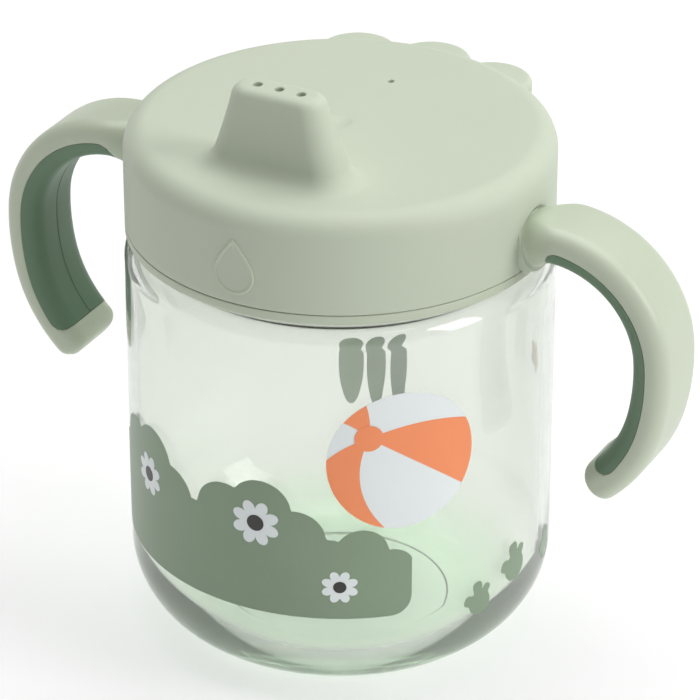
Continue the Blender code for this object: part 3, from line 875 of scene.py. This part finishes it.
@dataclass
class Hook:
    """One hooked handle's path and sections, with the pocket that holds its grip."""

    side: Side
    root: Flat = (37.1 * MM, 89.05 * MM)
    first_angle: float = 24.0
    arcs: tuple[Flat, ...] = ((20.6 * MM, 110.0), (43.0 * MM, 17.0), (27.5 * MM, 40.0))
    width: float = 15.4 * MM
    depth: float = 7.5 * MM
    outer_corner: float = 3.0 * MM
    inner_corner: float = 3.7 * MM
    root_width: float = 11.4 * MM
    root_extra: float = 2.6 * MM
    root_corner: float = 5.2 * MM
    spread_start: float = 2.4 * MM
    spread_length: float = 7.5 * MM
    tip_round: float = 2.6 * MM
    pocket: float = 3.5 * MM
    pocket_start: float = 8.0 * MM
    pocket_margin: float = 4.6 * MM
    pocket_round: float = 3.2 * MM
    seam: float = 0.07 * MM
    parting_width: float = 0.22 * MM
    parting_depth: float = 0.16 * MM
    collar_distance: float = 3.1 * MM
    collar_round: float = 0.9 * MM
    collar_flare: float = 0.72 * MM
    corner_steps: int = 8

    @property
    def length(self) -> float:
        """Return the length of the handle's centre line."""
        return sum(radius * math.radians(turn) for radius, turn in self.arcs)

    @property
    def pocket_end(self) -> float:
        """Return how far along the handle the pocket ends."""
        return self.length - self.pocket_margin

    def point(self, distance: float) -> Solid:
        """Follow the centre line.

        Args:
            distance: How far along it.

        Returns:
            The x, the z and the heading in radians there.
        """
        x, z = self.root
        heading = math.radians(self.first_angle)
        left = distance
        for radius, turn in self.arcs:
            step = min(left, radius * math.radians(turn))
            after = heading - step / radius
            x += radius * (math.sin(heading) - math.sin(after))
            z += radius * (math.cos(after) - math.cos(heading))
            heading = after
            left -= step
        return x, z, heading

    def placed(self, distance: float, section: list[Flat]) -> list[Solid]:
        """Place a section on the handle.

        Args:
            distance: How far along the centre line.
            section: The section's (outward, across) points.

        Returns:
            The points in space.
        """
        x, z, heading = self.point(distance)
        out_x, out_z = -math.sin(heading), math.cos(heading)
        return [(self.side.value * (x + a * out_x), b, z + a * out_z) for a, b in section]

    def shape_at(self, distance: float) -> tuple[float, float, float, float, float]:
        """Work out the section's sizes at a distance along the handle.

        Args:
            distance: How far along the centre line.

        Returns:
            The half width, the outer and inner half depth, and the outer and inner corner radius.
        """
        blend = ease((distance - self.spread_start) / self.spread_length)
        half = (self.root_width + (self.width - self.root_width) * blend) / 2
        outer = self.depth / 2
        inner = self.depth / 2 + self.root_extra * (1.0 - blend)
        outer_corner = self.root_corner + (self.outer_corner - self.root_corner) * blend
        inner_corner = self.root_corner + (self.inner_corner - self.root_corner) * blend
        into = max(0.0, distance - (self.length - self.tip_round)) / self.tip_round
        inset = self.tip_round * (1.0 - math.sqrt(max(1.0 - into ** 2, 0.0)))
        near = min(max((distance - self.collar_distance) / self.collar_round, 0.0), 1.0)
        flare = self.collar_flare * (1.0 - math.sqrt(1.0 - (1.0 - near) ** 2))
        half, outer, inner = half - inset + flare, outer - inset + flare, inner - inset + flare
        limit = min((outer + inner) * 0.49, half * 0.98)
        return half, outer, inner, min(outer_corner, limit), min(inner_corner, limit)

    def depth_at(self, distance: float, gap: float) -> float:
        """Return how deep the round-ended pocket is.

        Args:
            distance: How far along the centre line.
            gap: How much smaller than the pocket to be, all round.

        Returns:
            The depth from the inner face.
        """
        start, end = self.pocket_start + gap, self.pocket_end - gap
        rounding = self.pocket_round - gap
        if distance <= start or distance >= end:
            return 0.0
        near = min(distance - start, end - distance) / rounding
        full = self.pocket - gap
        return full if near >= 1.0 else full * math.sqrt(1.0 - (1.0 - near) ** 2)

    def shell_section(self, distance: float) -> list[Flat]:
        """Draw the shell's section, flattened where the pocket is.

        Args:
            distance: How far along the centre line.

        Returns:
            The (outward, across) points.
        """
        half, outer, inner, outer_corner, inner_corner = self.shape_at(distance)
        floor = -inner + self.depth_at(distance, 0.0)
        points: list[Flat] = []
        for a, b, corner, first in (
            (outer - outer_corner, half - outer_corner, outer_corner, 0),
            (-inner + inner_corner, half - inner_corner, inner_corner, 90),
            (-inner + inner_corner, -half + inner_corner, inner_corner, 180),
            (outer - outer_corner, -half + outer_corner, outer_corner, 270),
        ):
            points += arc((a, b), corner, first, first + 90, self.corner_steps)
        return [(max(a, floor), b) for a, b in points]

    def grip_section(self, distance: float) -> list[Flat]:
        """Draw the grip's section, with the fine parting line down its middle.

        Args:
            distance: How far along the centre line.

        Returns:
            The (outward, across) points.
        """
        half, _, inner, _, corner = self.shape_at(distance)
        thick = self.depth_at(distance, self.seam)
        last = math.degrees(math.acos(max(0.0, 1.0 - thick / corner)))
        side = []
        for index in range(self.corner_steps + 1):
            angle = math.radians(last * index / self.corner_steps)
            rise, across = corner * (1.0 - math.cos(angle)), corner * math.sin(angle)
            side.append((-inner + rise, half - corner + across))
        side[-1] = (-inner + thick, side[-1][1])
        inset = min(self.parting_depth, thick * 0.5)
        line = [(-inner, -self.parting_width), (-inner + inset, 0.0), (-inner, self.parting_width)]
        return side + [(a, -b) for a, b in reversed(side)] + line

    def stations(self, gap: float) -> tuple[list[float], list[float]]:
        """Space out stations at the pocket's two round ends.

        Args:
            gap: How much smaller than the pocket to be.

        Returns:
            The stations at the root's end and at the tip's end.
        """
        angles = [math.radians(10.0 + 80.0 * i / 8) for i in range(9)]
        rounding = self.pocket_round - gap
        near = [self.pocket_start + gap + rounding * (1.0 - math.cos(a)) for a in angles]
        far = [self.pocket_end - gap - rounding * (1.0 - math.cos(a)) for a in angles]
        return near, far[::-1]

    def shell(self) -> bpy.types.Object:
        """Loft the handle's hard shell.

        Returns:
            The shell, as a closed solid.
        """
        near, far = self.stations(0.0)
        tip = self.length - self.tip_round
        rounds = [self.collar_distance + self.collar_round * i / 5 for i in range(6)]
        stops = [0.0, 1.5 * MM] + rounds + between(rounds[-1], self.pocket_start, MM)
        stops += [self.pocket_start] + near + between(near[-1], far[0], 1.1 * MM) + far
        stops += [self.pocket_end] + between(self.pocket_end, tip, 0.7 * MM) + [tip]
        stops += [tip + self.tip_round * math.sin(math.radians(a)) for a in (15, 30, 45, 60, 72, 82, 89)]
        return lofted(f"shell_{self.side.name}", [self.placed(s, self.shell_section(s)) for s in stops])

    def grip(self) -> bpy.types.Object:
        """Loft the soft grip that fills the pocket.

        Returns:
            The grip, as a closed solid.
        """
        near, far = self.stations(self.seam)
        stops = near + between(near[-1], far[0], 1.1 * MM) + far
        name = f"{self.side.name.lower()}_soft_grip"
        return lofted(name, [self.placed(s, self.grip_section(s)) for s in stops])


def arched_plug(
    name: str, levels: list[tuple[float, float, float]], low_z: float, spring_z: float, side: Side
) -> bpy.types.Object:
    """Make a plug with an arched top that follows the round wall on one side.

    Args:
        name: The plug's name.
        levels: For each level outwards, its radius from the axis, half width and extra width at the arch.
        low_z: The height of its foot.
        spring_z: The height where its arch begins.
        side: The side it is on.

    Returns:
        The plug, as a closed solid.
    """
    rings = []
    for radius, half, extra in levels:
        edge = [(-half, low_z), (-half, (low_z + spring_z) / 2)]
        for angle in [math.pi * i / 40 for i in range(41)]:
            reach = half + extra * math.sin(angle)
            edge.append((-reach * math.cos(angle), spring_z + reach * math.sin(angle)))
        edge += [(half, (low_z + spring_z) / 2), (half, low_z)]
        rings.append([(side.value * math.sqrt(radius ** 2 - y ** 2), y, z) for y, z in edge])
    return lofted(name, rings)


@dataclass
class HandleRing:
    """The screw ring with its lip, flange, thread, two pads and two hooked handles."""

    lip_round: float = 0.55 * MM
    top_edge: float = 0.8 * MM
    pad_set_in: float = 0.05 * MM
    pad_edge: float = 0.35 * MM
    thread_sweep: float = 100.0

    def build(self) -> None:
        """Turn the ring, join its pads, handles and ridges, and dress it with its grips."""
        ring = turned("handle_ring_shell", self.outline(), SIZES.sides, loop=True)
        for start in (0, 1):
            name, low_z = f"ring_ridge_{start}", SIZES.thread_start_z - SIZES.lead / 4
            thread = ridge(name, SIZES.ring_bore, True, low_z, self.thread_sweep, 180.0 * start)
            meet(ring, thread, Join.ADD)
        for side in Side:
            meet(ring, self.pad(side), Join.ADD)
            hook = Hook(side)
            meet(ring, hook.shell(), Join.ADD)
            grip = hook.grip()
            finish_piece(grip, DARK_GRIP, Body.RING)
            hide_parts(f"{side.name.lower()}_grip")
        finish_piece(ring, HARD_SAGE, Body.RING)
        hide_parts("handle_ring")

    def outline(self) -> list[Flat]:
        """Draw the ring's section.

        Returns:
            The outline, all the way round.
        """
        s, lip, top = SIZES, self.lip_round, self.top_edge
        points = [(s.ring_bore, s.ring_bottom_z + 0.3 * MM), (s.ring_bore + 0.3 * MM, s.ring_bottom_z)]
        points += arc((s.cover_radius - lip, s.ring_bottom_z + lip), lip, -90, 0, 5)
        points += arc((s.cover_radius - 0.2 * MM, s.lip_top_z - 0.2 * MM), 0.2 * MM, 0, 90, 3)
        points += [(s.ring_radius, s.lip_top_z)]
        points += [(s.ring_radius, z) for z in between(s.lip_top_z, s.ring_top_z - top, 4 * MM)]
        points += arc((s.ring_radius - top, s.ring_top_z - top), top, 0, 90, 5)
        points += arc((s.flange_bore + 0.3 * MM, s.ring_top_z - 0.3 * MM), 0.3 * MM, 90, 180, 3)
        points += [(s.flange_bore, s.flange_z), (s.ring_bore, s.flange_z)]
        return points

    def pad(self, side: Side) -> bpy.types.Object:
        """Make the pad that fills the cover's notch on one side.

        Args:
            side: Which side.

        Returns:
            The pad, as a closed solid.
        """
        face = SIZES.cover_radius - self.pad_set_in
        half, edge = SIZES.pad_half_width, self.pad_edge
        levels = [(SIZES.ring_radius - 0.8 * MM, half, 0.0), (face - edge, half, 0.0)]
        for degrees in (30, 60, 90):
            angle = math.radians(degrees)
            levels.append((face - edge * (1 - math.sin(angle)), half, -edge * (1 - math.cos(angle))))
        spring = SIZES.pad_top_z - half
        return arched_plug(f"pad_{side.name}", levels, SIZES.lip_top_z - MM, spring, side)


# ---------------------------------------------------------------- spout cover


@dataclass
class SpoutCover:
    """The soft cover: a cap over the ring with a hollow spout, holes, notches, tabs and an emblem."""

    spout_height: float = 16.2 * MM
    spout_back: float = -19.3 * MM
    spout_front: float = -26.3 * MM
    spout_half: float = 8.8 * MM
    side_flare: float = 5.2 * MM
    back_flare: float = 2.4 * MM
    front_flare: float = 0.9 * MM
    flare_power: float = 1.2
    foot_round: float = 3.2 * MM
    top_round: float = 1.7 * MM
    inner_round: float = 0.5 * MM
    corner: float = 3.6 * MM
    spout_wall: float = 1.9 * MM
    edge_round: float = 4.4 * MM
    hem_round: float = 0.25 * MM
    plug_radius: float = 30.9 * MM
    plug_wall: float = 1.6 * MM
    plug_depth: float = 3.4 * MM
    hole_radius: float = 0.85 * MM
    hole_pitch: float = 4.4 * MM
    vent_radius: float = 0.6 * MM
    vent_y: float = 19.9 * MM
    gate_ball: float = 9.0 * MM
    gate_depth: float = 0.28 * MM
    notch_gap: float = 0.06 * MM
    notch_round: float = 0.9 * MM
    tab_radius: float = 7.6 * MM
    tab_reach: float = 36.6 * MM
    tab_step: float = 23.0
    tab_drop: float = 1.7 * MM
    tab_height: float = 4.2 * MM
    tab_round: float = 1.2 * MM
    emblem_z: float = 90.0 * MM
    emblem_half: float = 4.1 * MM
    emblem_tall: float = 6.9 * MM
    emblem_taper: float = 0.72
    emblem_levels: tuple[Flat, ...] = (
        (1.0, -0.5), (1.0, 0.12), (0.97, 0.26), (0.93, 0.30), (0.88, 0.24), (0.84, 0.10),
        (0.4, 0.08), (0.05, 0.08),
    )
    rays: int = 192

    @property
    def centre_y(self) -> float:
        """Return the middle of the spout, which every ring of the cover is drawn round."""
        return (self.spout_back + self.spout_front) / 2

    def build(self) -> None:
        """Loft the cover, add its tabs and emblem, cut its openings and dress it."""
        cover = lofted("spout_cover", self.rings(), closed_tip=True)
        for number, step in enumerate((-1, 0, 1)):
            meet(cover, self.tab(number, 90.0 - step * self.tab_step), Join.ADD)
        meet(cover, self.emblem(), Join.ADD)
        for side in Side:
            meet(cover, self.notch(side), Join.CUT)
        top = SIZES.cover_top_z + self.spout_height
        for step in (-1, 0, 1):
            place = (step * self.hole_pitch, self.centre_y, top)
            meet(cover, self.hole(place, self.hole_radius), Join.CUT)
        meet(cover, self.hole((0.0, self.vent_y, SIZES.cover_top_z), self.vent_radius), Join.CUT)
        meet(cover, self.gate_mark(), Join.CUT)
        finish_piece(cover, SOFT_SAGE, Body.COVER)
        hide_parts("lid_cover")

    def spout_outline(self, rise: float, inset: float) -> list[Flat]:
        """Draw the spout's level outline.

        Args:
            rise: The height above the cover's top.
            inset: How far inside the outer face it lies.

        Returns:
            The outline.
        """
        below = 1.0 - min(max(rise / self.spout_height, 0.0), 1.0)
        flare = below ** self.flare_power
        foot = max(0.0, 1.0 - max(rise, 0.0) / self.foot_round)
        skirt = self.foot_round * (1.0 - math.sqrt(1.0 - foot ** 2)) if inset == 0.0 else 0.0
        rounding = max(self.top_round - inset, self.inner_round)
        top = max(0.0, rise - (self.spout_height - rounding - inset)) / rounding
        grow = skirt - rounding * (1.0 - math.sqrt(1.0 - min(top, 1.0) ** 2)) - inset
        half = self.spout_half + self.side_flare * flare + grow
        low = self.spout_front - self.front_flare * flare - grow
        high = self.spout_back + self.back_flare * flare + grow
        corner = self.corner - inset / 2 + self.foot_round * flare
        corner = min(corner, half * 0.95, (high - low) * 0.475)
        points: list[Flat] = []
        for x, y, first in (
            (half - corner, high - corner, 0), (-half + corner, high - corner, 90),
            (-half + corner, low + corner, 180), (half - corner, low + corner, 270),
        ):
            points += arc((x, y), corner, first, first + 90, 14)
        return points

    def rayed(self, outline: list[Flat], height: float, scale: float = 1.0) -> list[Solid]:
        """Return where evenly turned rays from the spout's middle cross an outline.

        Args:
            outline: A level outline round the spout's middle.
            height: The ring's height.
            scale: How far along each ray the ring's point is placed.

        Returns:
            One point for each ray.
        """
        corners = [(x, y - self.centre_y) for x, y in outline]
        polar = sorted((math.atan2(y, x) % math.tau, x, y) for x, y in corners)
        (first, *start), (last, *end) = polar[0], polar[-1]
        polar = [(last - math.tau, *end)] + polar + [(first + math.tau, *start)]
        points, index = [], 0
        for ray in range(self.rays):
            angle = math.tau * ray / self.rays
            while polar[index + 1][0] < angle:
                index += 1
            _, x1, y1 = polar[index]
            _, x2, y2 = polar[index + 1]
            dx, dy = math.cos(angle), math.sin(angle)
            reach = (x1 * y2 - x2 * y1) / (dx * (y2 - y1) - dy * (x2 - x1))
            points.append((dx * reach * scale, self.centre_y + dy * reach * scale, height))
        return points

    def round_ring(self, radius: float, height: float) -> list[Solid]:
        """Make a ring on a circle round the cup's axis, with a point on each of the spout's rays.

        Args:
            radius: The circle's radius.
            height: The ring's height.

        Returns:
            One point for each ray.
        """
        points = []
        for ray in range(self.rays):
            angle = math.tau * ray / self.rays
            dx, dy = math.cos(angle), math.sin(angle)
            along = -dy * self.centre_y
            reach = along + math.sqrt(along ** 2 + radius ** 2 - self.centre_y ** 2)
            points.append((dx * reach, self.centre_y + dy * reach, height))
        return points

    def rings(self) -> list[list[Solid]]:
        """Make every ring of the cover.

        Returns:
            The rings, from the spout's top over the outside to the spout's roof inside.
        """
        s, top = SIZES, SIZES.cover_top_z
        rings = []
        crown = self.spout_outline(self.spout_height, 0.0)
        rings += [self.rayed(crown, top + self.spout_height, share) for share in (0.02, 0.35, 0.7)]
        straight = self.spout_height - self.top_round
        rises = [straight + self.top_round * math.sin(math.radians(a)) for a in range(90, -1, -15)]
        rises += between(straight, self.foot_round, 1.2 * MM)
        rises += [self.foot_round * (1.0 - math.cos(math.radians(a))) for a in range(90, 0, -10)]
        rings += [self.rayed(self.spout_outline(rise, 0.0), top + rise) for rise in rises]
        foot = rings[-1]
        edge = self.round_ring(s.cover_radius - self.edge_round, top)
        for step in range(1, 14):
            share = step / 14
            shares = (share, share, min(1, share * 4))
            rings.append([
                tuple(a + (b - a) * part for a, b, part in zip(inner, outer, shares))
                for inner, outer in zip(foot, edge)
            ])
        rings += [self.round_ring(r, z) for r, z in self.skirt_outline()]
        ceiling = self.spout_height - self.spout_wall
        rises = [-2.0 * MM] + between(-2.0 * MM, ceiling, 2.5 * MM) + [ceiling]
        inside = self.rayed(self.spout_outline(0.0, self.spout_wall), s.cover_ceiling_z)
        plug = rings[-1]
        rings.append([((a[0] + b[0]) / 2, (a[1] + b[1]) / 2, b[2]) for a, b in zip(inside, plug)])
        rings += [self.rayed(self.spout_outline(rise, self.spout_wall), top + rise) for rise in rises]
        roof = self.spout_outline(ceiling, self.spout_wall)
        rings += [self.rayed(roof, top + ceiling, share) for share in (0.6, 0.02)]
        return rings

    def skirt_outline(self) -> list[Flat]:
        """Draw the section of the cover's rim, skirt, hem, bore, ceiling and plug.

        Returns:
            The outline, from the top's edge to the plug's inside.
        """
        s, hem, edge = SIZES, self.hem_round, self.edge_round
        points = arc((s.cover_radius - edge, s.cover_top_z - edge), edge, 90, 0, 12)
        points += [(s.cover_radius, z) for z in between(points[-1][1], s.cover_low_z + hem, 1.6 * MM)]
        points += arc((s.cover_radius - hem, s.cover_low_z + hem), hem, 0, -90, 4)
        points += arc((s.cover_bore + 0.25 * MM, s.cover_low_z + 0.25 * MM), 0.25 * MM, 270, 180, 3)
        points += [(s.cover_bore, z) for z in between(s.cover_low_z, s.cover_ceiling_z, 4 * MM)]
        points += [(s.cover_bore, s.cover_ceiling_z), (self.plug_radius, s.cover_ceiling_z)]
        low = s.cover_ceiling_z - self.plug_depth
        points += arc((self.plug_radius - 0.4 * MM, low + 0.4 * MM), 0.4 * MM, 0, -90, 3)
        inner = self.plug_radius - self.plug_wall
        points += arc((inner + 0.4 * MM, low + 0.4 * MM), 0.4 * MM, -90, -180, 3)
        points += [(inner, s.cover_ceiling_z)]
        return points

    def tab(self, number: int, degrees: float) -> bpy.types.Object:
        """Make one round pull tab with soft edges.

        Args:
            number: The tab's number.
            degrees: Its direction from the axis.

        Returns:
            The tab, as a closed solid.
        """
        x = self.tab_reach * math.cos(math.radians(degrees))
        y = self.tab_reach * math.sin(math.radians(degrees))
        high = SIZES.cover_top_z - self.tab_drop
        low = high - self.tab_height
        flat, soft = self.tab_radius - self.tab_round, self.tab_round
        edge = arc((flat, low + soft), soft, -90, 0, 5) + arc((flat, high - soft), soft, 0, 90, 5)
        return lofted(f"tab_{number}", [level_circle((x, y, z), r, 72) for r, z in edge])

    def notch(self, side: Side) -> bpy.types.Object:
        """Make the cutter for one handle's notch, with a rolled edge round its arch.

        Args:
            side: Which side.

        Returns:
            The cutter, as a closed solid.
        """
        half = SIZES.pad_half_width + self.notch_gap
        outside, roll = SIZES.cover_radius, self.notch_round
        levels = [(SIZES.cover_bore - 1.5 * MM, half, 0.0), (outside - roll, half, 0.0)]
        for degrees in (15, 30, 45, 60, 75, 88):
            angle = math.radians(degrees)
            inset, extra = roll * (1.0 - math.sin(angle)), roll * (1.0 - math.cos(angle))
            levels.append((outside - inset, half, extra))
        levels.append((outside + MM, half, roll * 1.02))
        spring = SIZES.pad_top_z - SIZES.pad_half_width
        return arched_plug(f"notch_{side.name}", levels, SIZES.cover_low_z - 2 * MM, spring, side)

    def hole(self, mouth: Solid, radius: float) -> bpy.types.Object:
        """Make the cutter for one small hole with a softened mouth.

        Args:
            mouth: The middle of its mouth.
            radius: Its radius.

        Returns:
            The cutter, as a closed solid.
        """
        x, y, top = mouth
        levels = ((1.0, -3.6), (1.0, -0.25), (1.08, -0.1), (1.3, 0.02), (1.3, 1.0))
        rings = [level_circle((x, y, top + rise * MM), radius * grow, 28) for grow, rise in levels]
        return lofted("hole", rings)

    def gate_mark(self) -> bpy.types.Object:
        """Make the cutter for the shallow round gate mark in the cover's middle.

        Returns:
            The cutter, as a closed solid.
        """
        start_clean()
        place = (0.0, 0.0, SIZES.cover_top_z + self.gate_ball - self.gate_depth)
        bpy.ops.mesh.primitive_uv_sphere_add(
            segments=96, ring_count=192, radius=self.gate_ball, location=place
        )
        piece = bpy.context.active_object
        bpy.ops.object.mode_set(mode="EDIT")
        bpy.ops.mesh.select_all(action="SELECT")
        cut = (0.0, 0.0, SIZES.cover_top_z + MM)
        bpy.ops.mesh.bisect(plane_co=cut, plane_no=(0.0, 0.0, 1.0), use_fill=True, clear_outer=True)
        bpy.ops.object.mode_set(mode="OBJECT")
        bpy.ops.object.transform_apply(location=True, rotation=True, scale=True)
        return piece

    def emblem(self) -> bpy.types.Object:
        """Make the raised drop-shaped emblem on the front of the skirt.

        Returns:
            The emblem, as a closed solid.
        """
        rings = []
        for scale, lift in self.emblem_levels:
            radius = SIZES.cover_radius + lift * MM
            ring = []
            for index in range(96):
                turn = math.tau * index / 96
                above = max(math.sin(turn), 0.0)
                across = self.emblem_half * math.cos(turn) * (1.0 - above ** 1.5 * self.emblem_taper)
                tall = self.emblem_tall if above > 0.0 else self.emblem_half
                angle = -math.pi / 2 + across * scale / SIZES.cover_radius
                height = self.emblem_z + tall * math.sin(turn) * scale
                ring.append((radius * math.cos(angle), radius * math.sin(angle), height))
            rings.append(ring)
        return lofted("emblem", rings)


# ---------------------------------------------------------------- studio


@dataclass(frozen=True)
class GlowingTable(Finish):
    """The pale table that the cup stands on, lit faintly from below."""

    glow: float = 0.48

    def floor(self, reach: float) -> None:
        """Lay the table's top under the cup.

        Args:
            reach: How far it goes to each side.
        """
        start_clean()
        bpy.ops.mesh.primitive_plane_add(size=reach * 2)
        sheet = bpy.context.active_object
        sheet.name = "studio_floor"
        material = self.material()
        shader = material.node_tree.nodes["Principled BSDF"]
        shader.inputs["Emission Color"].default_value = (1.0, 1.0, 1.0, 1.0)
        shader.inputs["Emission Strength"].default_value = self.glow
        sheet.data.materials.append(material)


@dataclass
class Studio:
    """A pale floor, soft lamps and the camera."""

    camera_place: Solid = (0.3133, -0.5816, 0.4222)
    camera_aim: Solid = (0.00156, 0.00084, 0.0549)
    lens: float = 205.7
    sensor: float = 36.0
    table_reach: float = 3.0
    sky: Solid = (0.09, 0.091, 0.092)
    horizon: Solid = (0.95, 0.95, 0.945)
    horizon_height: float = 0.28

    def build(self) -> None:
        """Set up the floor, the lamps, the surroundings and the camera."""
        pale, shade = (0.52, 0.52, 0.52), (0.51, 0.51, 0.51)
        GlowingTable("pale_table", pale, shade, roughness=0.9, cloud_scale=6.0).floor(self.table_reach)
        self.lamp("top_lamp", (-0.05, 0.30, 1.5), 1.8, 1.6, 25.5)
        self.lamp("side_lamp", (1.25, 0.10, 0.75), 0.5, 0.9, 9.5)
        self.surround()
        self.camera()

    def lamp(self, name: str, place: Solid, width: float, height: float, power: float) -> None:
        """Hang a soft rectangular lamp that faces the cup.

        Args:
            name: The lamp's name.
            place: Where it hangs.
            width: Its width.
            height: Its height.
            power: Its power in watts.
        """
        start_clean()
        bpy.ops.object.light_add(type="AREA", location=place)
        lamp = bpy.context.active_object
        lamp.name = name
        lamp.data.shape = "RECTANGLE"
        lamp.data.size = width
        lamp.data.size_y = height
        lamp.data.energy = power
        aim = Vector((0.0, 0.0, 0.05)) - Vector(place)
        lamp.rotation_euler = aim.to_track_quat("-Z", "Y").to_euler()

    def surround(self) -> None:
        """Fill the room with soft light that is brightest near the horizon."""
        world = bpy.data.worlds.new("studio")
        bpy.context.scene.world = world
        world.use_nodes = True
        tree = world.node_tree
        place = tree.nodes.new("ShaderNodeTexCoord")
        glow = height_fade(tree, place.outputs["Generated"], self.horizon_height, self.horizon, self.sky)
        tree.links.new(glow, tree.nodes["Background"].inputs["Color"])

    def camera(self) -> None:
        """Place the camera and make it the scene's."""
        start_clean()
        bpy.ops.object.camera_add(location=self.camera_place)
        camera = bpy.context.active_object
        camera.name = "camera"
        aim = Vector(self.camera_aim) - Vector(self.camera_place)
        camera.rotation_euler = aim.to_track_quat("-Z", "Y").to_euler()
        camera.data.lens = self.lens
        camera.data.sensor_width = self.sensor
        camera.data.clip_start = 0.01
        bpy.context.scene.camera = camera


def main() -> None:
    """Build every piece in order."""
    logging.basicConfig(level=logging.INFO, format="%(name)s: %(message)s")
    scene = bpy.context.scene
    scene.view_settings.view_transform = "Standard"
    tumbler = Tumbler()
    for stage, assembly in (
        ("studio", Studio()), ("tumbler", tumbler), ("prints", Prints(tumbler)), ("seal", NeckSeal()),
        ("handle ring", HandleRing()), ("spout cover", SpoutCover()),
    ):
        assembly.build()
        LOG.info("%s done", stage)
    start_clean()


if __name__ == "__main__":
    main()
